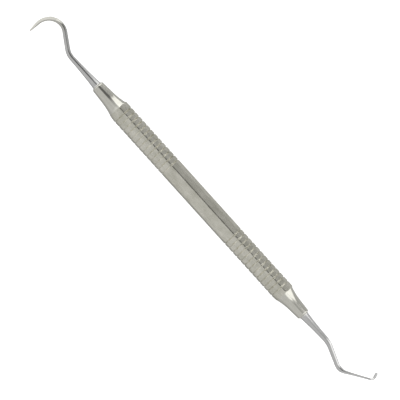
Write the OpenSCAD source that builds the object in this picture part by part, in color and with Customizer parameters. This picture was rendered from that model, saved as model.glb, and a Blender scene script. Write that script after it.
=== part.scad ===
// Double-ended hand scaler: a hollow ten-sided handle, two tapered noses pressed into
// it, and a sickle and a hook whose tangs are soldered into the noses.
// X runs along the handle from the sickle to the hook, Z is up, and the handle rests on
// one flat of its tube at Z = 0, with the origin under the middle of the handle.

/* [Handle tube] */
// Width of the ten-sided tube across its flats
across_flats = 7.7; // [7.6:0.05:8.6]
// Depth that the ten corners of the tube are turned down
corner_cut = 0.05; // [0.02:0.01:0.1]
// Length of the tube between the two noses
tube_length = 89.2; // [89:0.1:96]
// Bore of the hollow tube
tube_bore = 5.6; // [4.5:0.1:6]
// Length of the rounded shoulder at each end of the tube
shoulder_length = 1.2; // [0.8:0.1:2]
// Drop of the shoulder at the end of the tube
shoulder_drop = 0.13; // [0.05:0.01:0.25]
// Length of the taper that blends each end of the tube into its nose
blend_length = 4.3; // [3:0.1:6]
// Drop of that taper at the end of the tube, on the -Y side
blend_drop = 0.34; // [0.25:0.01:0.34]
// Offset of that taper's axis, which makes it run out on the +Y side
blend_offset = 0.3; // [0.25:0.01:0.4]

/* [Grips] */
// Number of turned grooves in each grip
groove_count = 13; // [6:1:13]
// Spacing of the grooves
groove_pitch = 2.08; // [1.6:0.01:2.1]
// Distance from the middle of the handle to the first groove
first_groove = 16.7; // [12:0.1:17]
// Extra distance to the first groove on the hook's side
hook_grip_shift = 0.3; // [0:0.05:1]
// Depth of a groove below the corners of the tube
groove_depth = 0.28; // [0.2:0.01:0.4]
// Width of a groove where it meets the corners
groove_width = 0.6; // [0.4:0.01:0.9]
// Distance that the sickle's grooves are turned off the tube's axis, towards +Y
sickle_grip_offset = 0.09; // [0:0.01:0.12]
// Distance that the hook's grooves are turned off the tube's axis, towards +Y
hook_grip_offset = 0.02; // [0:0.01:0.12]

/* [Noses] */
// Length of the sickle's nose outside the tube
sickle_nose_length = 10.95; // [9:0.05:12]
// Length of the hook's nose outside the tube
hook_nose_length = 10.2; // [9:0.05:12]
// Diameter of the nose at the tube
nose_root = 7.3; // [7:0.01:7.4]
// Diameter of the nose at its outer end
nose_tip = 4.62; // [4.4:0.01:5]
// Growth of the neck's diameter for each millimetre back from its outer end
neck_growth = 0.147; // [0.05:0.001:0.16]
// Length of the concave flare next to the tube
flare_length = 5.2; // [4:0.1:7]
// Length of the spigot pressed into the tube
spigot_length = 6; // [4:0.5:10]
// Diameter of the tangs and of their bores in the noses
tang_d = 2.6; // [2:0.1:2.8]
// Length of a tang inside its nose
tang_length = 12; // [8:0.5:12.5]

/* [Shanks] */
// Diameter of a shank where it leaves its nose
shank_root_d = 3.5; // [3:0.05:3.5]
// Diameter that a shank tapers down towards
shank_d = 1.74; // [1.4:0.02:1.9]
// Distance over which a shank's flare fades to about a third
shank_fade = 7.5; // [5:0.5:9]
// Length of the solder fillet along the shank
solder_length = 0.5; // [0.3:0.1:0.8]

/* [Sickle] */
// Straight length of the shank out of the nose
sickle_reach = 13.5; // [12:0.1:16]
// Angle of the first bend
sickle_bend = 33.2; // [25:0.1:40]
// Centreline radius of the first bend
sickle_bend_radius = 6.5; // [5:0.1:9]
// Straight length between the first bend and the blade
sickle_arm = 6.2; // [5:0.1:8]
// Turn of the first part of the blade
crest_turn = 59; // [50:1:65]
// Centreline radius of the first part of the blade
crest_radius = 5.4; // [5:0.1:6.5]
// Turn of the second part of the blade
crescent_turn = 65; // [55:1:70]
// Centreline radius of the second part of the blade
crescent_radius = 6.2; // [6:0.1:8]
// Length of the straight point of the blade
point_length = 3.85; // [3:0.1:4.5]
// Share of its root width that the blade loses before its point
blade_taper = 0.42; // [0.3:0.01:0.5]

/* [Hook] */
// Straight length of the shank out of the nose
hook_reach = 11.4; // [10:0.1:14]
// Angle of the first bend
hook_bend = 21.2; // [15:0.1:25]
// Centreline radius of the first bend
hook_bend_radius = 10.5; // [8:0.1:12]
// Straight length between the first and second bends
hook_arm = 6.6; // [5:0.1:8]
// Angle of the second bend
elbow_turn = 53.6; // [45:0.1:58]
// Centreline radius of the second bend
elbow_radius = 4.5; // [4:0.1:6]
// Straight length between the second bend and the blade
hook_forearm = 9.1; // [8:0.1:11]
// Angle between the flattened arm and the blade
toe_turn = 77.7; // [65:0.1:85]
// Centreline radius of that last bend
toe_radius = 1.5; // [1:0.05:1.6]
// Length of the blade after the last bend
toe_length = 1.75; // [1.4:0.01:2.4]
// Thickness that the flattened arm thins down towards
arm_thickness = 0.76; // [0.5:0.01:0.9]
// Breadth of the rounded toe
toe_breadth = 1.1; // [0.8:0.02:1.2]
// Twist of the blade's face towards the upper side
toe_twist = 60; // [0:5:70]

/* [Hidden] */
sides = 10;
ring_sides = 24;
axis_z = across_flats / 2;
sharp_corner_r = axis_z / cos(180 / sides);
corner_r = sharp_corner_r - corner_cut;
nose_steps = 14;
nose_edge = 0.3;
tang_overlap = 1;
solder_height = 0.26;
tip_round = 0.18;
far = 100;
steel = [0.69, 0.69, 0.65];
polished = [0.78, 0.78, 0.77];
silver = [0.80, 0.79, 0.74];

// ---------- helpers ----------

function blend(a, b, t) = a + (b - a) * t;
function share(v, from, to) = min(1, max(0, (v - from) / (to - from)));
function smooth(t) = t * t * (3 - 2 * t);
function arc_length(radius, angle) = radius * angle * PI / 180;

// In what follows, side is 1 for the hook's end and -1 for the sickle's
function nose_length(side) = side > 0 ? hook_nose_length : sickle_nose_length;
function mouth_x(side) = tube_length / 2 + nose_length(side);

// Puts a shape made along Z on the handle's axis, pointing along X
module along_axis() {
    translate([0, 0, axis_z])
        rotate([0, 90, 0])
            children();
}

// Places what belongs to one end
module at_end(side) {
    rotate([0, 0, side > 0 ? 0 : 180])
        children();
}

// A closed surface through rings of points, which all have the same number of points.
// It closes flat at the first ring, and in a low cone to the apex past the last one.
module skin(rings, apex) {
    n = len(rings[0]);
    last = len(rings) - 1;
    start_cap = [[for (k = [0:n - 1]) k]];
    around = [for (i = [0:last - 1], k = [0:n - 1])
        let (next = (k + 1) % n)
        [i * n + k, (i + 1) * n + k, (i + 1) * n + next, i * n + next]];
    end_cone = [for (k = [0:n - 1]) [last * n + k, (last + 1) * n, last * n + (k + 1) % n]];
    polyhedron(points = concat([for (ring = rings) each ring], [apex]),
               faces = concat(start_cap, around, end_cone));
}

// ---------- bent shanks and blades ----------

// A run is [length, turn, steps]. A station is [x, y, heading, distance from the mouth].
function along(start, run, part) =
    let (heading = start[2] + run[1] * part, length = run[0] * part)
    run[1] == 0
        ? [start[0] + length * cos(heading), start[1] + length * sin(heading),
           heading, start[3] + length]
        : let (radius = run[0] / (run[1] * PI / 180))
          [start[0] + radius * (sin(heading) - sin(start[2])),
           start[1] - radius * (cos(heading) - cos(start[2])),
           heading, start[3] + length];

function stations(runs, i = 0, start = [0, 0, 0, 0]) =
    i == len(runs)
        ? [start]
        : concat([for (k = [0:runs[i][2] - 1]) along(start, runs[i], k / runs[i][2])],
                 stations(runs, i + 1, along(start, runs[i], 1)));

function run_sum(runs, count) = count == 0 ? 0 : runs[count - 1][0] + run_sum(runs, count - 1);

// Distance to the edge of a round bar, in direction a, after flats are ground on it.
// A flat is [direction of its normal, distance from the centre].
function flat_reach(flat, a) = let (c = cos(a - flat[0])) c > 0.02 ? flat[1] / c : far;
function bar_reach(bar_r, flats, a) = min(concat([bar_r], [for (f = flats) flat_reach(f, a)]));

// One ring of points across the path. section = [bar radius, flats, twist, across scale].
function ring(at, section) =
    [for (k = [0:ring_sides - 1])
        let (a = 360 * k / ring_sides,
             reach = bar_reach(section[0], section[1], a),
             inward = reach * cos(a),
             upward = reach * sin(a) * section[3],
             side = inward * cos(section[2]) - upward * sin(section[2]),
             lift = inward * sin(section[2]) + upward * cos(section[2]))
        [at[0] - side * sin(at[2]), at[1] + side * cos(at[2]), lift]];

function shank_r(s) = (shank_d + (shank_root_d - shank_d) * exp(-s / shank_fade)) / 2;

// Share of the full section that is left as a rounded end closes
function closing(s, total, radius) =
    let (t = share(s, total - radius, total)) max(0.3, sqrt(1 - t * t));

module working_end(side, runs, sections) {
    at = stations(runs);
    last = len(at) - 1;
    translate([mouth_x(side), 0, axis_z]) {
        skin([for (i = [0:last - 1]) ring(at[i], sections[i])], [at[last][0], at[last][1], 0]);
        rotate([0, 90, 0])
            translate([0, 0, -tang_length])
                cylinder(h = tang_length + tang_overlap, d = tang_d, $fn = 48);
    }
}

// ---------- sickle ----------

sickle_runs = [
    [sickle_reach, 0, 8],
    [arc_length(sickle_bend_radius, sickle_bend), -sickle_bend, 5],
    [sickle_arm, 0, 3],
    [arc_length(crest_radius, crest_turn), crest_turn, 10],
    [arc_length(crescent_radius, crescent_turn), crescent_turn, 12],
    [point_length - tip_round, 0, 6],
    [tip_round, 0, 3]
];
blade_start = run_sum(sickle_runs, 3);
sickle_length = run_sum(sickle_runs, len(sickle_runs));
blade_root = 2 * shank_r(blade_start);
point_share = 0.8;
point_taper = 0.45;
blade_bevel = 115;
blade_land = 0.34;

function blade_width(q) =
    blade_root * (1 - blade_taper * q) * (1 - point_taper * share(q, point_share, 1));

// The inner face and the two bevels are ground in gradually, so the blade is round at
// its root and triangular from its middle to its point. A narrow land is left along
// each side of the inner face.
function blade_section(s) =
    let (q = share(s, blade_start, sickle_length),
         w = blade_width(q) * closing(s, sickle_length, tip_round),
         ground = smooth(share(q, 0.14, 0.52)),
         faced = smooth(share(q, 0.02, 0.35)),
         bar_r = w * blend(0.5, 0.64, ground),
         bevel = blend(bar_r, 0.25 * w, ground),
         land = blend(bar_r, blade_land * w, ground))
    [bar_r,
     [[0, blend(bar_r, 0.48 * w, faced)],
      [blade_bevel, bevel], [-blade_bevel, bevel],
      [90, land], [-90, land]],
     0, 1];

function sickle_section(s) = s < blade_start ? [shank_r(s), [], 0, 1] : blade_section(s);

module sickle_end() {
    color(polished)
        at_end(-1)
            working_end(-1, sickle_runs, [for (at = stations(sickle_runs)) sickle_section(at[3])]);
}

// ---------- hook ----------

hook_runs = [
    [hook_reach, 0, 7],
    [arc_length(hook_bend_radius, hook_bend), -hook_bend, 4],
    [hook_arm, 0, 3],
    [arc_length(elbow_radius, elbow_turn), elbow_turn, 9],
    [hook_forearm, 0, 9],
    [arc_length(toe_radius, toe_turn), toe_turn, 9],
    [toe_length - toe_breadth / 2, 0, 4],
    [toe_breadth / 2, 0, 5]
];
hook_length = run_sum(hook_runs, len(hook_runs));
elbow_middle = run_sum(hook_runs, 3) + hook_runs[3][0] / 2;
forearm_end = run_sum(hook_runs, 5);
toe_start = run_sum(hook_runs, 6);
arm_fade = 3.2;
arm_ridge = 25;
toe_thickness = 1.3;

// The arm is flattened from its elbow on, and its two sides meet in soft ridges
function arm_width(s) =
    min(2 * shank_r(s), arm_thickness
        + (2 * shank_r(elbow_middle) - arm_thickness) * exp((elbow_middle - s) / arm_fade));
function arm_breadth(s) =
    blend(2 * shank_r(s), toe_breadth, share(s, elbow_middle, forearm_end));

function hook_section(s) =
    s < elbow_middle
        ? [shank_r(s), [], 0, 1]
        : let (twist = toe_twist * smooth(share(s, forearm_end - 0.5, hook_length - 1.2)),
               slim = blend(1, toe_thickness, share(s, forearm_end, hook_length)),
               half = arm_width(s) / 2 * cos(arm_ridge) * slim,
               bar_r = arm_breadth(s) / 2)
          [bar_r,
           [[arm_ridge, half], [-arm_ridge, half],
            [180 - arm_ridge, half], [180 + arm_ridge, half]],
           twist, closing(s, hook_length, toe_breadth / 2)];

module hook_end() {
    color(polished)
        at_end(1)
            working_end(1, hook_runs, [for (at = stations(hook_runs)) hook_section(at[3])]);
}

// ---------- solder ----------

// A fillet of solder around the root of a shank, on the end face of its nose
module solder_fillet(side) {
    color(silver)
        at_end(side)
            translate([mouth_x(side), 0, 0])
                along_axis()
                    rotate_extrude($fn = 64)
                        polygon([
                            [shank_root_d / 2, 0],
                            [shank_root_d / 2 + solder_height, 0],
                            [shank_root_d / 2 + solder_height * 0.35, solder_length * 0.4],
                            [shank_root_d / 2, solder_length]]);
}

// ---------- noses ----------

function nose_r(x, length) =
    (nose_tip + neck_growth * (length - x)) / 2
    + (nose_root / 2 - (nose_tip + neck_growth * length) / 2)
      * pow(1 - share(x, 0, flare_length), 2);

// A turned nose with its spigot and its bore, as one outline spun round the axis
module nose(side) {
    length = nose_length(side);
    flank_end = length - nose_edge;
    flank = [for (i = [0:nose_steps])
        let (x = flank_end * i / nose_steps)
        [nose_r(x, length), x]];
    mouth = [for (a = [30:30:90])
        [nose_tip / 2 - nose_edge * (1 - cos(a)), flank_end + nose_edge * sin(a)]];
    spigot = [
        [tang_d / 2, -spigot_length],
        [tube_bore / 2, -spigot_length],
        [tube_bore / 2, 0]];
    color(steel)
        at_end(side)
            translate([tube_length / 2, 0, 0])
                along_axis()
                    rotate_extrude($fn = 96)
                        polygon(concat(spigot, flank, mouth, [[tang_d / 2, length]]));
}

// ---------- tube ----------

// The turned blank: a tube whose ends drop in a rounded shoulder
module tube_blank() {
    half = tube_length / 2;
    outline = [for (side = [-1, 1], a = [0:15:60])
        let (t = side < 0 ? 60 - a : a)
        [corner_r - shoulder_drop * (1 - cos(t)) / (1 - cos(60)),
         side * (half - shoulder_length * (1 - sin(t) / sin(60)))]];
    rotate_extrude($fn = 96)
        polygon(concat([[tube_bore / 2, -half]], outline, [[tube_bore / 2, half]]));
}

// A second turned blank, off the tube's axis, whose tapering ends cut deepest on one side
module tapered_blank() {
    half = tube_length / 2;
    outline = [for (side = [-1, 1], i = [0:4])
        let (t = side < 0 ? 1 - i / 4 : i / 4)
        [corner_r + blend_offset - blend_drop * t * t, side * (half - blend_length * (1 - t))]];
    translate([0, blend_offset, 0])
        rotate_extrude($fn = 96)
            polygon(concat([[0, -half]], outline, [[0, half]]));
}

// A turned groove with sloping walls
module groove() {
    bottom = corner_r - groove_depth;
    rotate_extrude($fn = 96)
        polygon([
            [bottom, -groove_width / 5],
            [bottom, groove_width / 5],
            [corner_r + 0.1, groove_width * 0.56],
            [corner_r + 0.1, -groove_width * 0.56]]);
}

function grip_offset(side) = side > 0 ? hook_grip_offset : sickle_grip_offset;
function grip_start(side) = first_groove + (side > 0 ? hook_grip_shift : 0);

module handle_tube() {
    color(steel)
        along_axis()
            difference() {
                intersection() {
                    rotate([0, 0, 180 / sides])
                        cylinder(h = tube_length, r = sharp_corner_r, center = true, $fn = sides);
                    tube_blank();
                    tapered_blank();
                }
                for (side = [-1, 1], i = [0:groove_count - 1])
                    translate([0, -grip_offset(side), side * (grip_start(side) + i * groove_pitch)])
                        groove();
            }
}

module sickle_nose() { nose(-1); }
module hook_nose() { nose(1); }
module sickle_solder() { solder_fillet(-1); }
module hook_solder() { solder_fillet(1); }

handle_tube();
sickle_nose();
hook_nose();
sickle_end();
hook_end();
sickle_solder();
hook_solder();
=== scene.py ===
import math

import bmesh
import bpy
import numpy as np
from mathutils import Matrix, Vector


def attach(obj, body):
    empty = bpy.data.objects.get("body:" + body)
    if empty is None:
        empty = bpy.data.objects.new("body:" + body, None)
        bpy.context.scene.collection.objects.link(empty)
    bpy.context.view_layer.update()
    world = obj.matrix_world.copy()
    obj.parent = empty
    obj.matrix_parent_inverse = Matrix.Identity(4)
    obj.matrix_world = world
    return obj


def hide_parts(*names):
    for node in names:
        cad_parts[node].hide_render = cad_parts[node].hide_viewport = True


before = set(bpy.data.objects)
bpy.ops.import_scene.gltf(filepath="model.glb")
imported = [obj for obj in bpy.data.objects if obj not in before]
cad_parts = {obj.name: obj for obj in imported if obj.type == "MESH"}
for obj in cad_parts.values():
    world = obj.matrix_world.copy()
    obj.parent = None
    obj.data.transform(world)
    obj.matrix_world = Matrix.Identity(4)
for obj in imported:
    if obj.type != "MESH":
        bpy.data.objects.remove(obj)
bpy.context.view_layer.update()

# ---------- driving dimensions, in millimetres ----------

MM = 0.001

ACROSS_FLATS = 7.7
CORNER_CUT = 0.05
SIDES = 10
TUBE_LENGTH = 89.2
TUBE_BORE = 5.6
SHOULDER_LENGTH = 1.2
SHOULDER_DROP = 0.13
SHOULDER_ARC = math.radians(60)
# the taper, off the tube's axis, that blends each end of the tube into its nose
BLEND_LENGTH = 4.3
BLEND_DROP = 0.34
BLEND_OFFSET = 0.3

GROOVE_COUNT = 13
GROOVE_PITCH = 2.08
FIRST_GROOVE = 16.7
HOOK_GRIP_SHIFT = 0.3
SICKLE_GRIP_OFFSET = 0.09
HOOK_GRIP_OFFSET = 0.02
GROOVE_DEPTH = 0.28
# half the width of a groove where it is about a third as deep as in its middle
GROOVE_SPREAD = 0.27
# how far outside the corners the grooves' outline runs between one groove and the next
GROOVE_CLEARANCE = 0.10
PAD_SOFTNESS = 0.05

SICKLE_NOSE_LENGTH = 10.95
HOOK_NOSE_LENGTH = 10.2
NOSE_ROOT = 7.3
NOSE_TIP = 4.62
NECK_GROWTH = 0.147
FLARE_LENGTH = 5.2
NOSE_EDGE = 0.3
SPIGOT_LENGTH = 6.0
TANG_D = 2.6
TANG_LENGTH = 12.0

SHANK_ROOT_D = 3.5
SHANK_D = 1.74
SHANK_FADE = 7.5
SOLDER_LENGTH = 0.5
SOLDER_HEIGHT = 0.25

SICKLE_REACH = 13.5
SICKLE_BEND = 33.2
SICKLE_BEND_RADIUS = 6.5
SICKLE_ARM = 6.2
CREST_TURN = 59
CREST_RADIUS = 5.4
CRESCENT_TURN = 65
CRESCENT_RADIUS = 6.2
POINT_LENGTH = 3.85
TIP_ROUND = 0.18
BLADE_TAPER = 0.42

HOOK_REACH = 11.4
HOOK_BEND = 21.2
HOOK_BEND_RADIUS = 10.5
HOOK_ARM = 6.6
ELBOW_TURN = 53.6
ELBOW_RADIUS = 4.5
HOOK_FOREARM = 9.1
ARM_THICKNESS = 0.76
TOE_TURN = 77.7
TOE_BEND_RADIUS = 1.5
TOE_LENGTH = 1.75
TOE_BREADTH = 1.1
TOE_THICKNESS = 1.3
TOE_TWIST = 60

AXIS_Z = ACROSS_FLATS / 2
HALF_SIDE = math.pi / SIDES
CORNER_R = AXIS_Z / math.cos(HALF_SIDE) - CORNER_CUT
# the fillet that brings the sharp corners of the ten flats down to the corner radius
EDGE_FILLET = (AXIS_Z - CORNER_R * math.cos(HALF_SIDE)) / (1 - math.cos(HALF_SIDE))
HALF_TUBE = TUBE_LENGTH / 2
NOSE_LENGTH = {-1: SICKLE_NOSE_LENGTH, 1: HOOK_NOSE_LENGTH}
MOUTH_X = {side: HALF_TUBE + NOSE_LENGTH[side] for side in NOSE_LENGTH}

# ---------- small helpers ----------

SHARP_EDGE = math.radians(30)


def blend(a, b, t):
    """a where t is 0, b where it is 1."""
    return a + (b - a) * t


def share(v, start, end):
    """How far v has come from start to end, from 0 to 1."""
    return min(1.0, max(0.0, (v - start) / (end - start)))


def smooth(t):
    """A share from 0 to 1, eased at both ends."""
    return t * t * (3 - 2 * t)


def soft_min(a, b, softness):
    """The smaller of a and b, rounded where they cross."""
    h = np.clip(0.5 + 0.5 * (b - a) / softness, 0, 1)
    return b * (1 - h) + a * h - softness * h * (1 - h)


def mesh_piece(name, points, faces, node, material, shade=None):
    """A piece that stands for a CAD node; points are in millimetres, in the CAD frame.
    shade, where given, is a number from 0 to 1 for each point, for the material."""
    mesh = bpy.data.meshes.new(name)
    mesh.from_pydata([Vector(p) * MM for p in points], [], faces)
    bm = bmesh.new()
    bm.from_mesh(mesh)
    bmesh.ops.recalc_face_normals(bm, faces=bm.faces)
    for face in bm.faces:
        face.smooth = True
    for edge in bm.edges:
        if edge.calc_face_angle(0) > SHARP_EDGE:
            edge.smooth = False
    bm.to_mesh(mesh)
    bm.free()
    mesh.materials.append(material)
    if shade is not None:
        mesh.attributes.new(SHADE, "FLOAT", "POINT").data.foreach_set("value", shade)
    piece = bpy.data.objects.new(name, mesh)
    bpy.context.scene.collection.objects.link(piece)
    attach(piece, "root")
    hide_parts(node)


def strip_faces(ring_total, count, closed):
    """Quads between neighbouring rings of points, each with the same count."""
    faces = []
    for i in range(ring_total if closed else ring_total - 1):
        j = (i + 1) % ring_total
        for k in range(count):
            m = (k + 1) % count
            faces.append((i * count + k, j * count + k, j * count + m, i * count + m))
    return faces


def closed_loft(rings):
    """Points and faces of rings that lead back to the first one, as on a pipe's wall."""
    points = [tuple(p) for ring in rings for p in ring]
    return points, strip_faces(len(rings), len(rings[0]), True)


def solid_loft(rings, start, end):
    """Points and faces of rings closed by a fan to a point at each end."""
    count = len(rings[0])
    points = [tuple(p) for ring in rings for p in ring] + [tuple(start), tuple(end)]
    faces = strip_faces(len(rings), count, False)
    last = (len(rings) - 1) * count
    first_point = len(points) - 2
    for k in range(count):
        m = (k + 1) % count
        faces.append((first_point, k, m))
        faces.append((last + k, first_point + 1, last + m))
    return points, faces


def end_side(points, side):
    """Turns what was made for the hook's end to the sickle's end when side is -1."""
    return [(side * x, side * y, z) for x, y, z in points]


# ---------- materials ----------

SHADE = "shade"
# nearly all of a noise lies between these values
NOISE_MIDDLE = (0.3, 0.7)
NOISE_ROUGHNESS = 0.6


class Nodes:
    """Builds a material's nodes with short calls."""

    def __init__(self, name):
        self.material = bpy.data.materials.new(name)
        self.material.use_nodes = True
        self.tree = self.material.node_tree
        self.shader = self.tree.nodes["Principled BSDF"]
        self.place = self.tree.nodes.new("ShaderNodeTexCoord").outputs["Object"]

    def link(self, a, b):
        self.tree.links.new(a, b)

    def stretched(self, scale):
        node = self.tree.nodes.new("ShaderNodeMapping")
        node.inputs["Scale"].default_value = scale
        self.link(self.place, node.inputs["Vector"])
        return node.outputs["Vector"]

    def noise(self, scale, detail):
        """Noise whose grains are 1/scale millimetres, given along x, y and z."""
        node = self.tree.nodes.new("ShaderNodeTexNoise")
        node.inputs["Scale"].default_value = 1
        node.inputs["Detail"].default_value = detail
        node.inputs["Roughness"].default_value = NOISE_ROUGHNESS
        self.link(self.stretched([s / MM for s in scale]), node.inputs["Vector"])
        return node.outputs["Fac"]

    def ramp(self, value, stops):
        """Colours along a value: stops are (position, colour)."""
        node = self.tree.nodes.new("ShaderNodeValToRGB")
        ramp = node.color_ramp
        while len(ramp.elements) < len(stops):
            ramp.elements.new(0.5)
        for element, (position, colour) in zip(ramp.elements, stops):
            element.position = position
            element.color = (*colour, 1)
        self.link(value, node.inputs["Fac"])
        return node.outputs["Color"]

    def span(self, value, low, high):
        """Spreads the middle of a noise from low to high."""
        node = self.tree.nodes.new("ShaderNodeMapRange")
        node.inputs["From Min"].default_value = NOISE_MIDDLE[0]
        node.inputs["From Max"].default_value = NOISE_MIDDLE[1]
        node.inputs["To Min"].default_value = low
        node.inputs["To Max"].default_value = high
        self.link(value, node.inputs["Value"])
        return node.outputs["Result"]

    def multiply(self, a, b):
        """Two colours multiplied. The node has its sockets for colours after those for
        numbers and vectors, so they are found by their place."""
        node = self.tree.nodes.new("ShaderNodeMix")
        node.data_type = "RGBA"
        node.blend_type = "MULTIPLY"
        node.inputs[0].default_value = 1
        self.link(a, node.inputs[6])
        self.link(b, node.inputs[7])
        return node.outputs[2]

    def tint(self, colour, amount, full):
        """The colour, dimmed where the amount reaches a half, and multiplied by the full
        tint where it is 1."""
        dimmed = (max(full),) * 3
        stops = [(0.0, (1, 1, 1)), (0.5, dimmed), (1.0, full)]
        return self.multiply(colour, self.ramp(amount, stops))

    def attribute(self, name):
        node = self.tree.nodes.new("ShaderNodeAttribute")
        node.attribute_name = name
        return node.outputs["Fac"]

    def bump(self, height, distance, under=None):
        """Relief of a height from 0 to 1 over a distance in mm, on top of another's."""
        node = self.tree.nodes.new("ShaderNodeBump")
        node.inputs["Strength"].default_value = 1
        node.inputs["Distance"].default_value = distance * MM
        self.link(height, node.inputs["Height"])
        if under is not None:
            self.link(under, node.inputs["Normal"])
        return node.outputs["Normal"]


def steel(name, light, dark, rough, mottle, grain, wave, scratch, shaded=None):
    """Satin steel, from its lowest to its highest roughness. mottle and grain are noise
    scales in 1/mm; wave and scratch are depths in mm of the slow waviness and of the fine
    lines left by the grinding. shaded is the tint of the steel where the piece's own
    "shade" attribute is 1: painted shade in the handle's grooves and on the -Y side of the
    hook's shank, and the ground blade's duller, warmer colour on the sickle."""
    n = Nodes(name)
    clouds = n.noise(mottle, detail=4)
    lines = n.noise(grain, detail=3)
    colour = n.ramp(clouds, list(zip(NOISE_MIDDLE, (dark, light))))
    worn = n.ramp(lines, [(0.25, (0.86, 0.86, 0.86)), (0.75, (1, 1, 1))])
    colour = n.multiply(colour, worn)
    if shaded:
        colour = n.tint(colour, n.attribute(SHADE), shaded)
    n.link(colour, n.shader.inputs["Base Color"])
    n.link(n.span(lines, *rough), n.shader.inputs["Roughness"])
    n.shader.inputs["Metallic"].default_value = 1
    slow = n.bump(clouds, wave)
    n.link(n.bump(lines, scratch, slow), n.shader.inputs["Normal"])
    return n.material


# the handle's shaded tint is painted shade in its grooves
handle_steel = steel(
    "satin_handle_steel", light=(0.86, 0.84, 0.75), dark=(0.63, 0.62, 0.53),
    rough=(0.18, 0.30), mottle=(0.25, 0.5, 0.5), grain=(1.2, 7, 7), wave=0.03,
    scratch=0.002, shaded=(0.94, 0.93, 0.90))
nose_steel = steel(
    "turned_nose_steel", light=(0.79, 0.78, 0.71), dark=(0.73, 0.72, 0.65),
    rough=(0.08, 0.15), mottle=(0.4, 0.9, 0.9), grain=(9, 1.5, 1.5), wave=0.008,
    scratch=0.001)


def tip_steel(name, light, dark, shaded):
    """The polished steel of a shank and its working end."""
    return steel(name, light, dark, rough=(0.10, 0.18), mottle=(0.6, 0.6, 0.6),
                 grain=(5, 5, 5), wave=0.005, scratch=0.001, shaded=shaded)


sickle_steel = tip_steel("polished_sickle_steel", light=(0.74, 0.74, 0.73),
                         dark=(0.69, 0.69, 0.68), shaded=(0.90, 0.89, 0.83))
# the hook's shaded tint is painted shade on the -Y side of its shank
hook_steel = tip_steel("polished_hook_steel", light=(0.86, 0.86, 0.85),
                       dark=(0.81, 0.81, 0.80), shaded=(0.86, 0.86, 0.86))
solder_silver = steel(
    "silver_solder", light=(0.84, 0.83, 0.79), dark=(0.74, 0.73, 0.69),
    rough=(0.24, 0.38), mottle=(1.5, 1.5, 1.5), grain=(6, 6, 6), wave=0.02,
    scratch=0.004)

# ---------- handle tube ----------

FLAT_SAMPLES = (0, 4, 8, 11)
CORNER_STEPS = 5
GROOVE_SAMPLES = (0, 0.05, 0.10, 0.15, 0.20, 0.26, 0.33, 0.42, 0.56)
# steps between the tube's rings away from the grooves; the shoulder's crowd to its end
PLAIN_STEPS = 8
BLEND_STEPS = 4
SHOULDER_STEPS = 8
SHOULDER_CROWDING = 1.5
GROOVE_UNEVENNESS = 0.08
GROOVE_BEAT = 2.3
# the grooves are painted darker, as painted shade, between these depths below the corners
GROOVE_SHADE_DEPTH = (0.06, 0.16)


def fillet_start():
    """Angle from the middle of a flat to where its corner's fillet starts."""
    return math.atan((AXIS_Z - EDGE_FILLET) * math.tan(HALF_SIDE) / AXIS_Z)


def rim_angles():
    """Angles round the tube from the middle of a flat, closer together at the corners."""
    tangent = math.degrees(fillet_start())
    corner = math.degrees(HALF_SIDE)
    half = [*FLAT_SAMPLES, *np.linspace(tangent, corner, CORNER_STEPS, endpoint=False)]
    one = sorted({-a for a in half} | set(half)) + [corner]
    return np.radians([360 / SIDES * i + a for i in range(SIDES) for a in one])


def ten_sided(angles):
    """Distance from the axis to the rounded ten-sided outline in each direction."""
    corner_centre = (AXIS_Z - EDGE_FILLET) / math.cos(HALF_SIDE)
    from_flat = (angles + HALF_SIDE) % (2 * HALF_SIDE) - HALF_SIDE
    from_corner = HALF_SIDE - np.abs(from_flat)
    on_fillet = corner_centre * np.cos(from_corner) + np.sqrt(
        np.maximum(EDGE_FILLET**2 - (corner_centre * np.sin(from_corner)) ** 2, 0))
    past_flat = np.abs(from_flat) > fillet_start()
    return np.where(past_flat, on_fillet, AXIS_Z / np.cos(from_flat))


def shoulder_r(x, angles):
    """Radius left by the rounded shoulder, and by the longer taper towards the end that
    is turned off the tube's axis and so runs out on the +Y side."""
    into = share(abs(x), HALF_TUBE - SHOULDER_LENGTH, HALF_TUBE)
    turn = math.asin(math.sin(SHOULDER_ARC) * into)
    drop = SHOULDER_DROP * (1 - math.cos(turn)) / (1 - math.cos(SHOULDER_ARC))
    shoulder = CORNER_R + GROOVE_CLEARANCE / 2 - drop
    taper = share(abs(x), HALF_TUBE - BLEND_LENGTH, HALF_TUBE) ** 2
    blended = CORNER_R + BLEND_OFFSET * (1 + np.sin(angles)) - BLEND_DROP * taper
    return np.minimum(shoulder, blended + GROOVE_CLEARANCE / 2)


def groove_r(x, angles):
    """Radius that the turned grooves leave at x, in each direction. They are turned a
    little off the tube's axis, and are not all equally deep."""
    first = FIRST_GROOVE + (HOOK_GRIP_SHIFT if x > 0 else 0)
    place = (abs(x) - first) / GROOVE_PITCH
    nearest = min(GROOVE_COUNT - 1, max(0, round(place)))
    away = (place - nearest) * GROOVE_PITCH
    uneven = 1 + GROOVE_UNEVENNESS * math.sin(GROOVE_BEAT * math.copysign(nearest + 1, x))
    offset = (HOOK_GRIP_OFFSET if x > 0 else SICKLE_GRIP_OFFSET) * np.sin(angles)
    depth = GROOVE_DEPTH * uneven + offset + GROOVE_CLEARANCE
    return CORNER_R + GROOVE_CLEARANCE - depth * math.exp(-((away / GROOVE_SPREAD) ** 2))


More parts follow.
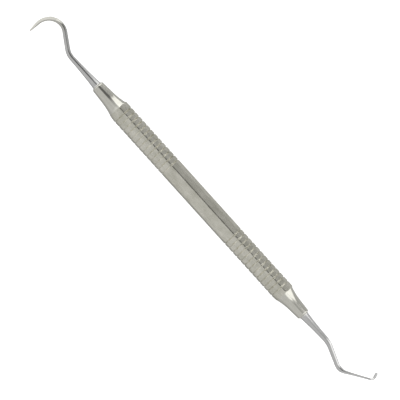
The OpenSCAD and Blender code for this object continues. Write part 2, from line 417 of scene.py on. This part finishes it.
def tube_stations():
    """Where along X the tube has rings: close together in each groove and shoulder."""
    stops = set()
    for side, first in ((-1, FIRST_GROOVE), (1, FIRST_GROOVE + HOOK_GRIP_SHIFT)):
        half = {HALF_TUBE, *np.linspace(0, first - GROOVE_SAMPLES[-1], PLAIN_STEPS + 1)}
        for i in range(GROOVE_COUNT):
            centre = first + i * GROOVE_PITCH
            half |= {centre + s * u for s in (-1, 1) for u in GROOVE_SAMPLES}
        half |= {HALF_TUBE - SHOULDER_LENGTH * (1 - i / SHOULDER_STEPS) ** SHOULDER_CROWDING
                 for i in range(SHOULDER_STEPS + 1)}
        half |= set(np.linspace(HALF_TUBE - BLEND_LENGTH, HALF_TUBE - SHOULDER_LENGTH,
                                BLEND_STEPS + 1))
        stops |= {round(side * x, 4) for x in half if x <= HALF_TUBE}
    return sorted(stops)


def round_axis(x, radius, angles):
    """A ring round the handle's axis; the angle is 0 upwards and grows towards +Y."""
    radius = np.broadcast_to(radius, angles.shape)
    return np.stack([np.full_like(angles, x), radius * np.sin(angles),
                     AXIS_Z + radius * np.cos(angles)], -1)


def make_tube():
    """The tube's outside and its bore, as one wall. Its shade attribute is painted shade in the
    grooves.
    """
    angles = rim_angles()
    outline = ten_sided(angles)
    rings = []
    shade = []
    for x in tube_stations():
        grooved = groove_r(x, angles)
        turned = soft_min(shoulder_r(x, angles), grooved, PAD_SOFTNESS)
        rings.append(round_axis(x, soft_min(outline, turned, PAD_SOFTNESS), angles))
        # painted shade: the deeper the groove, the darker its steel is painted
        shade += [smooth(share(CORNER_R - r, *GROOVE_SHADE_DEPTH)) for r in grooved]
    for x in (HALF_TUBE, -HALF_TUBE):
        rings.append(round_axis(x, TUBE_BORE / 2, angles))
        shade += [0.0] * len(angles)
    points, faces = closed_loft(rings)
    mesh_piece("tube_body", points, faces, "handle_tube", handle_steel,
               shade=shade)


make_tube()

# ---------- noses and solder ----------

TURNED = np.radians(np.arange(0, 360, 3.75))
FLANK_STEPS = 40
SOLDER_STEPS = 8
# how far the solder reaches into the shank, and how fast its fillet falls off
SOLDER_OVERLAP = 0.15
SOLDER_FALL = 2.2


def nose_r(x, length):
    """Radius of a nose at x from the tube's end: a slim cone that flares at its root."""
    neck = (NOSE_TIP + NECK_GROWTH * (length - x)) / 2
    root_gap = NOSE_ROOT / 2 - (NOSE_TIP + NECK_GROWTH * length) / 2
    return neck + root_gap * (1 - share(x, 0, FLARE_LENGTH)) ** 2


def nose_profile(length):
    """(x, radius) all the way round the nose's wall, from the mouth of its bore."""
    flank_end = length - NOSE_EDGE
    profile = [(-SPIGOT_LENGTH, TANG_D / 2), (-SPIGOT_LENGTH, TUBE_BORE / 2),
               (0, TUBE_BORE / 2)]
    profile += [(x, nose_r(x, length)) for x in np.linspace(0, flank_end, FLANK_STEPS + 1)]
    for a in np.radians(np.arange(15, 91, 15)):
        profile.append((flank_end + NOSE_EDGE * math.sin(a),
                        NOSE_TIP / 2 - NOSE_EDGE * (1 - math.cos(a))))
    return profile + [(length, TANG_D / 2)]


def shank_r(s):
    """Radius of a shank at a distance from the nose's mouth, before it is ground."""
    return (SHANK_D + (SHANK_ROOT_D - SHANK_D) * math.exp(-s / SHANK_FADE)) / 2


def solder_profile():
    """A concave fillet from the nose's end face up onto the shank."""
    inside = SHANK_ROOT_D / 2 - SOLDER_OVERLAP
    curve = [(SOLDER_LENGTH * u,
              shank_r(SOLDER_LENGTH * u) + SOLDER_HEIGHT * (1 - u) ** SOLDER_FALL)
             for u in np.linspace(0, 1, SOLDER_STEPS + 1)]
    return [(0, inside), *curve, (SOLDER_LENGTH, inside)]


def turned_piece(name, profile, start_x, side, node, material):
    """A piece with a closed profile of (x from start_x, radius), turned about the axis."""
    rings = [round_axis(start_x + x, r, TURNED) for x, r in profile]
    points, faces = closed_loft(rings)
    mesh_piece(name, end_side(points, side), faces, node, material)


for label, side in (("sickle", -1), ("hook", 1)):
    turned_piece(label + "_nose_body", nose_profile(NOSE_LENGTH[side]), HALF_TUBE, side,
                 label + "_nose", nose_steel)
    turned_piece(label + "_solder_fillet", solder_profile(), MOUTH_X[side], side,
                 label + "_solder", solder_silver)

# ---------- shanks and blades ----------

RING = np.radians(np.arange(0, 360, 5))
# a path's points are this far apart in millimetres, or this many degrees in a bend
STEP = 0.25
BEND_STEP = 3
LEAST_STEPS = 3
FAR = 100.0
# a flat is left out of directions that run along it more nearly than this cosine
EDGE_ON = 0.02
# the share of its full size at which a rounded end's last ring stops
LAST_RING = 0.12
# keeps the finely stepped bends and the tips inside the solid model, whose steps are coarser
INSET = 0.03


def arc(radius, angle):
    """A bend in a path: length, turn in degrees."""
    return (radius * abs(math.radians(angle)), angle)


def stations(runs, mouth_x):
    """Points along runs of (length, turn in degrees), from the nose's mouth. Each is x,
    y, heading in radians, and the distance from the mouth."""
    x = mouth_x
    y = heading = travelled = 0.0
    out = [(x, y, heading, travelled)]
    for length, turn in runs:
        steps = max(LEAST_STEPS, round(length / STEP), round(abs(turn) / BEND_STEP))
        start = heading
        for k in range(1, steps + 1):
            ahead = length / steps
            heading = start + math.radians(turn) * k / steps
            middle = start + math.radians(turn) * (k - 0.5) / steps
            half_turn = math.radians(turn) / steps / 2
            chord = ahead * (math.sin(half_turn) / half_turn if turn else 1)
            x += chord * math.cos(middle)
            y += chord * math.sin(middle)
            travelled += ahead
            out.append((x, y, heading, travelled))
    return out


def bar_reach(bar_r, flats):
    """Distance to the edge of a round bar after flats are ground on it.
    A flat is (direction of its normal in degrees, distance from the centre)."""
    reach = np.full_like(RING, bar_r)
    for direction, distance in flats:
        c = np.cos(RING - math.radians(direction))
        flat_reach = np.where(c > EDGE_ON, distance / np.maximum(c, EDGE_ON), FAR)
        reach = np.minimum(reach, flat_reach)
    return reach


def ring(at, bar_r, flats, twist, across):
    """A ring of points square to the path at a station, turned by twist degrees. across
    is the scale of the section along its own upward direction."""
    x, y, heading, _ = at
    reach = bar_reach(bar_r, flats) - INSET
    inward = reach * np.cos(RING)
    upward = reach * np.sin(RING) * across
    turn = math.radians(twist)
    side = inward * math.cos(turn) - upward * math.sin(turn)
    lift = inward * math.sin(turn) + upward * math.cos(turn)
    return np.stack([x - side * math.sin(heading), y + side * math.cos(heading),
                     AXIS_Z + lift], -1)


def closing(s, length, radius):
    """Share of the full section that is left as a rounded end closes."""
    t = share(s, length - radius, length)
    return max(LAST_RING, math.sqrt(1 - t * t))


def total(runs):
    """The length of some runs together."""
    return sum(length for length, _ in runs)


def make_end(name, runs, section, node, side, material, shaded):
    """A tang, shank and working end. shaded gives the share of the material's tint that
    its steel takes at x, y, before the end is turned to its side."""
    path = stations(runs, MOUTH_X[side])
    rings = [round_axis(MOUTH_X[side] + x, TANG_D / 2, RING - math.pi / 2)
             for x in (-TANG_LENGTH, 0)]
    rings += [ring(at, *section(at[3])) for at in path]
    start = (MOUTH_X[side] - TANG_LENGTH, 0, AXIS_Z)
    end = (path[-1][0], path[-1][1], AXIS_Z)
    points, faces = solid_loft(rings, start, end)
    shade = [shaded(x, y) for x, y, _ in points]
    mesh_piece(name, end_side(points, side), faces, node, material, shade=shade)


# the sickle: a crest and a crescent, ground to a triangular section
SICKLE_RUNS = [(SICKLE_REACH, 0), arc(SICKLE_BEND_RADIUS, -SICKLE_BEND), (SICKLE_ARM, 0),
               arc(CREST_RADIUS, CREST_TURN), arc(CRESCENT_RADIUS, CRESCENT_TURN),
               (POINT_LENGTH - TIP_ROUND, 0), (TIP_ROUND - INSET, 0)]
BLADE_START = total(SICKLE_RUNS[:3])
SICKLE_LENGTH = total(SICKLE_RUNS)
BLADE_ROOT = 2 * shank_r(BLADE_START)
# past this share of its length the blade narrows faster, by this much more at its point
POINT_SHARE = 0.8
POINT_TAPER = 0.45
# the shares of the blade's length over which its bevels and its inner face deepen
BEVEL_GROUND = (0.14, 0.52)
FACE_GROUND = (0.02, 0.35)
# the fully ground section, as shares of the blade's width
BLADE_REACH = 0.64
BLADE_FACE = 0.48
BLADE_DEPTH = 0.25
BLADE_LAND = 0.34
BEVEL_ANGLE = 115
# where along X the blade's tint starts, and where it is full
SICKLE_SHADED = (71.0, 83.0)


def sickle_shade(x, _):
    """The share of the tint at x: it comes in along the blade."""
    return smooth(share(x, *SICKLE_SHADED))


def sickle_section(s):
    """Bar radius, flats, twist and the scale across, at a distance along the sickle."""
    if s < BLADE_START:
        return shank_r(s), [], 0, 1
    q = share(s, BLADE_START, SICKLE_LENGTH)
    width = (BLADE_ROOT * (1 - BLADE_TAPER * q)
             * (1 - POINT_TAPER * share(q, POINT_SHARE, 1))
             * closing(s, SICKLE_LENGTH, TIP_ROUND))
    ground = smooth(share(q, *BEVEL_GROUND))
    faced = smooth(share(q, *FACE_GROUND))
    bar_r = width * blend(0.5, BLADE_REACH, ground)
    bevel = blend(bar_r, BLADE_DEPTH * width, ground)
    land = blend(bar_r, BLADE_LAND * width, ground)
    flats = [(0, blend(bar_r, BLADE_FACE * width, faced)), (BEVEL_ANGLE, bevel),
             (-BEVEL_ANGLE, bevel), (90, land), (-90, land)]
    return bar_r, flats, 0, 1


# the hook: a flattened arm past the elbow, and a short blade twisted upwards
TOE_ROUND = TOE_BREADTH / 2
ARM_FADE = 3.2
ARM_RIDGE = 25
# the twist starts this far before the last bend, and ends this far before the tip
TWIST_LEAD = 0.5
TWIST_END = 1.2
# where along X the painted shade on the shank ends, and where it is full
HOOK_SHADED = (80.0, 77.0)
# painted shade: the straight of the shank is painted darker on its -Y side, fading in across
# these distances from its axis
HOOK_PAINTED_SHADE_SIDE = (0.5, -0.4)
HOOK_RUNS = [(HOOK_REACH, 0), arc(HOOK_BEND_RADIUS, -HOOK_BEND), (HOOK_ARM, 0),
             arc(ELBOW_RADIUS, ELBOW_TURN), (HOOK_FOREARM, 0),
             arc(TOE_BEND_RADIUS, TOE_TURN), (TOE_LENGTH - TOE_ROUND, 0),
             (TOE_ROUND - INSET, 0)]
HOOK_LENGTH = total(HOOK_RUNS)
ELBOW_MIDDLE = total(HOOK_RUNS[:3]) + HOOK_RUNS[3][0] / 2
FOREARM_END = total(HOOK_RUNS[:5])


def hook_shade(x, y):
    """The share of the painted shade at x, y: the -Y side of the shank's straight is painted
    darker.
    """
    return smooth(share(x, *HOOK_SHADED)) * smooth(share(y, *HOOK_PAINTED_SHADE_SIDE))


def hook_section(s):
    """Bar radius, flats, twist and the scale across, at a distance along the hook."""
    if s < ELBOW_MIDDLE:
        return shank_r(s), [], 0, 1
    start_width = 2 * shank_r(ELBOW_MIDDLE)
    fading = math.exp((ELBOW_MIDDLE - s) / ARM_FADE)
    width = min(2 * shank_r(s), ARM_THICKNESS + (start_width - ARM_THICKNESS) * fading)
    breadth = blend(2 * shank_r(s), TOE_BREADTH, share(s, ELBOW_MIDDLE, FOREARM_END))
    slim = blend(1, TOE_THICKNESS, share(s, FOREARM_END, HOOK_LENGTH))
    half = width / 2 * math.cos(math.radians(ARM_RIDGE)) * slim
    flats = [(a, half) for a in (ARM_RIDGE, -ARM_RIDGE, 180 - ARM_RIDGE, 180 + ARM_RIDGE)]
    twist = TOE_TWIST * smooth(share(s, FOREARM_END - TWIST_LEAD, HOOK_LENGTH - TWIST_END))
    return breadth / 2, flats, twist, closing(s, HOOK_LENGTH, TOE_ROUND)


make_end("sickle_tip", SICKLE_RUNS, sickle_section, "sickle_end", -1, sickle_steel,
         sickle_shade)
make_end("hook_tip", HOOK_RUNS, hook_section, "hook_end", 1, hook_steel, hook_shade)

# ---------- floor, light and camera ----------

FLOOR_SIZE = 20.0
FLOOR_GREY = 0.85
FLOOR_GLOW = 0.72
SIDES_LEVEL = 0.52
LEFT_LEVEL = 1.10
# where the sky's parts fade in, by how much of a direction is along X or Z
STRIP_ENDS = (0.12, 0.40)
LEFT_PATCH_X = (-0.42, -0.66)
LEFT_PATCH_Z = (0.15, 0.4)


def make_floor():
    mesh = bpy.data.meshes.new("studio_floor")
    h = FLOOR_SIZE / 2
    mesh.from_pydata([(-h, -h, 0), (h, -h, 0), (h, h, 0), (-h, h, 0)], [], [(0, 1, 2, 3)])
    paper = bpy.data.materials.new("white_paper")
    paper.use_nodes = True
    shader = paper.node_tree.nodes["Principled BSDF"]
    shader.inputs["Base Color"].default_value = (*(FLOOR_GREY,) * 3, 1)
    shader.inputs["Roughness"].default_value = 1
    shader.inputs["Specular IOR Level"].default_value = 0
    shader.inputs["Emission Color"].default_value = (1, 1, 1, 1)
    shader.inputs["Emission Strength"].default_value = FLOOR_GLOW
    mesh.materials.append(paper)
    floor = bpy.data.objects.new("studio_floor", mesh)
    bpy.context.scene.collection.objects.link(floor)
    floor.visible_glossy = False


make_floor()


class Sky:
    """The soft light all round, as a function of direction."""

    def __init__(self):
        world = bpy.data.worlds.new("soft_studio")
        world.use_nodes = True
        bpy.context.scene.world = world
        self.tree = world.node_tree
        self.background = self.tree.nodes["Background"]
        self.background.inputs["Color"].default_value = (1, 1, 1, 1)
        coordinates = self.tree.nodes.new("ShaderNodeTexCoord").outputs["Generated"]
        split = self.tree.nodes.new("ShaderNodeSeparateXYZ")
        self.tree.links.new(coordinates, split.inputs[0])
        self.x, self.y, self.z = split.outputs

    def math(self, kind, a, b=0.0):
        node = self.tree.nodes.new("ShaderNodeMath")
        node.operation = kind
        for socket, value in zip(node.inputs, (a, b)):
            if isinstance(value, (int, float)):
                socket.default_value = value
            else:
                self.tree.links.new(value, socket)
        return node.outputs[0]

    def step(self, value, start, end):
        """Rises smoothly from 0 at start to 1 at end."""
        node = self.tree.nodes.new("ShaderNodeMapRange")
        node.interpolation_type = "SMOOTHSTEP"
        node.inputs["From Min"].default_value = start
        node.inputs["From Max"].default_value = end
        self.tree.links.new(value, node.inputs["Value"])
        return node.outputs["Result"]

    def curve(self, value, stops):
        """Brightness along a value from -180 to 180 degrees: stops are (degrees, level)."""
        turned = self.math("ADD", self.math("DIVIDE", value, 2 * math.pi), 0.5)
        node = self.tree.nodes.new("ShaderNodeValToRGB")
        elements = node.color_ramp.elements
        while len(elements) < len(stops):
            elements.new(0.5)
        for element, (degrees, level) in zip(elements, stops):
            element.position = (degrees + 180) / 360
            element.color = (level, level, level, 1)
        self.tree.links.new(turned, node.inputs["Fac"])
        return node.outputs["Color"]

    def between(self, a, b, factor):
        """a where the factor is 0, b where it is 1."""
        keep = self.math("MULTIPLY", a, self.math("SUBTRACT", 1, factor))
        return self.math("ADD", keep, self.math("MULTIPLY", b, factor))


def make_sky():
    """Grey all round, with a dark strip high on the +Y side that fades out towards both
    ends of the object, and a bright patch high to the left."""
    sky = Sky()
    lean = sky.math("ARCTAN2", sky.y, sky.z)
    dome = sky.curve(lean, [(-180, 0.34), (-150, 0.35), (-128, 0.39), (-104, 0.48), (-86, 0.62),
                            (-66, 0.66), (-40, 0.62), (-10, 0.65), (4, 0.62), (12, 0.07),
                            (44, 0.10), (58, 0.42), (90, 0.46), (115, 0.54), (150, 0.50),
                            (180, 0.36)])
    away = sky.math("ABSOLUTE", sky.x)
    sides = sky.math("MAXIMUM", dome, SIDES_LEVEL)
    level = sky.between(dome, sides, sky.step(away, *STRIP_ENDS))
    left = sky.math("MULTIPLY", sky.step(sky.x, *LEFT_PATCH_X), sky.step(sky.z, *LEFT_PATCH_Z))
    level = sky.between(level, LEFT_LEVEL, left)
    sky.tree.links.new(level, sky.background.inputs["Strength"])


make_sky()


def soft_box(name, inner_low, lean, width, height, brightness):
    """An upright rectangle of light, in millimetres, that faces -Y. Its inner edge starts
    at inner_low (x, y, z) and leans away from the middle by lean degrees."""
    side = math.copysign(1, inner_low[0])
    light = bpy.data.lights.new(name, "AREA")
    light.shape = "RECTANGLE"
    light.size = width * MM
    light.size_y = height * MM
    light.energy = brightness * math.pi * light.size * light.size_y
    holder = bpy.data.objects.new(name, light)
    turn = math.radians(lean)
    up = Vector((side * math.sin(turn), 0, math.cos(turn)))
    out = Vector((side * math.cos(turn), 0, -math.sin(turn)))
    centre = Vector(inner_low) + out * width / 2 + up * height / 2
    facing = Vector((0, -1, 0))
    across = up.cross(-facing)
    axes = Matrix((across, up, -facing)).transposed()
    holder.matrix_world = Matrix.Translation(centre * MM) @ axes.to_4x4()
    holder.visible_camera = False
    bpy.context.scene.collection.objects.link(holder)


soft_box("right_box", (130, 200, -80), lean=-11, width=420, height=210, brightness=0.80)
soft_box("right_box_middle", (91, 200, 125), lean=35, width=200, height=150, brightness=0.75)
soft_box("right_box_upper", (165, 200, 231), lean=9, width=420, height=220, brightness=0.50)
soft_box("right_box_top", (199, 200, 448), lean=24, width=700, height=3000, brightness=0.50)
soft_box("right_fill", (92, 200, 170), lean=3, width=26, height=750, brightness=0.50)
soft_box("right_veil", (118, 200, 170), lean=3, width=400, height=1100, brightness=0.27)
soft_box("left_box", (-83, 200, -60), lean=6, width=200, height=255, brightness=0.80)
soft_box("left_box_top", (-186, 200, 122), lean=-43, width=160, height=110, brightness=0.80)

CAMERA_LEAN = 6.5
CAMERA_TURN = 47.93
PICTURE_WIDTH = 143.44
LENS = 300
SENSOR = 36
# how far the middle of the picture is from the handle's middle: along X, and in the picture
CAMERA_X = -0.18
CAMERA_LEFT = 0.29
CAMERA_UP = 0.30


def make_camera():
    """A long lens over the handle, leaning a little towards +Y, with the handle turned
    clockwise from the picture's horizontal."""
    lean = math.radians(CAMERA_LEAN)
    turn = math.radians(CAMERA_TURN)
    across = Vector((0, math.cos(lean), -math.sin(lean)))
    back = Vector((0, math.sin(lean), math.cos(lean)))
    right = Vector((1, 0, 0)) * math.cos(turn) + across * math.sin(turn)
    up = -Vector((1, 0, 0)) * math.sin(turn) + across * math.cos(turn)
    target = (Vector((CAMERA_X * MM, 0, AXIS_Z * MM))
              - right * CAMERA_LEFT * MM + up * CAMERA_UP * MM)
    camera = bpy.data.cameras.new("camera")
    camera.lens = LENS
    camera.sensor_width = SENSOR
    distance = PICTURE_WIDTH * MM * LENS / SENSOR
    holder = bpy.data.objects.new("camera", camera)
    holder.matrix_world = Matrix.Translation(target + back * distance) @ Matrix(
        (right, up, back)).transposed().to_4x4()
    camera.clip_start = 0.01
    camera.clip_end = 100
    bpy.context.scene.collection.objects.link(holder)
    bpy.context.scene.camera = holder


make_camera()
bpy.context.scene.view_settings.view_transform = "Standard"
